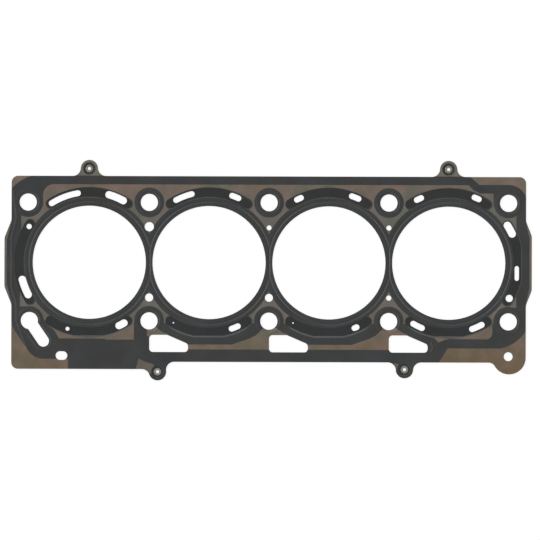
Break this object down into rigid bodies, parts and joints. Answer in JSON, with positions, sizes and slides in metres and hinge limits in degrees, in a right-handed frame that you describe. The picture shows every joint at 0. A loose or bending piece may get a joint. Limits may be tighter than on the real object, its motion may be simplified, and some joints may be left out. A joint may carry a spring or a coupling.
{
  "type": "cylinder head gasket",
  "caption": "Flat steel sheet gasket that seals a cylinder head to an in-line engine block, with printed rubber fields and pressed beads.",
  "frame": {"origin": "centre of the head bolt pattern, in the middle plane of the carrier sheet", "axes": "+X along the row of cylinders, away from the keyhole; +Y to the straight long edge; +Z to the cylinder head"},
  "size_m": [0.361, 0.1508, 0.0018],
  "materials": {
    "sheet_steel": "dull rolled spring steel with a brown cast",
    "rubber_print": "thin matt dark grey print",
    "carrier_steel": "plain rolled steel",
    "shim_steel": "plain rolled steel",
    "rivet_steel": "bright plated"
  },
  "bodies": {
    "root": {"upper_coat": "rubber_print", "upper_layer": "sheet_steel", "stopper_ring_1": "shim_steel", "stopper_ring_2": "shim_steel", "stopper_ring_3": "shim_steel", "stopper_ring_4": "shim_steel", "carrier_layer": "carrier_steel", "lower_layer": "sheet_steel", "lower_coat": "rubber_print", "rivet_top_left": "rivet_steel", "rivet_top_right": "rivet_steel", "rivet_bottom_left": "rivet_steel", "rivet_bottom_right": "rivet_steel"}
  },
  "joints": []
}
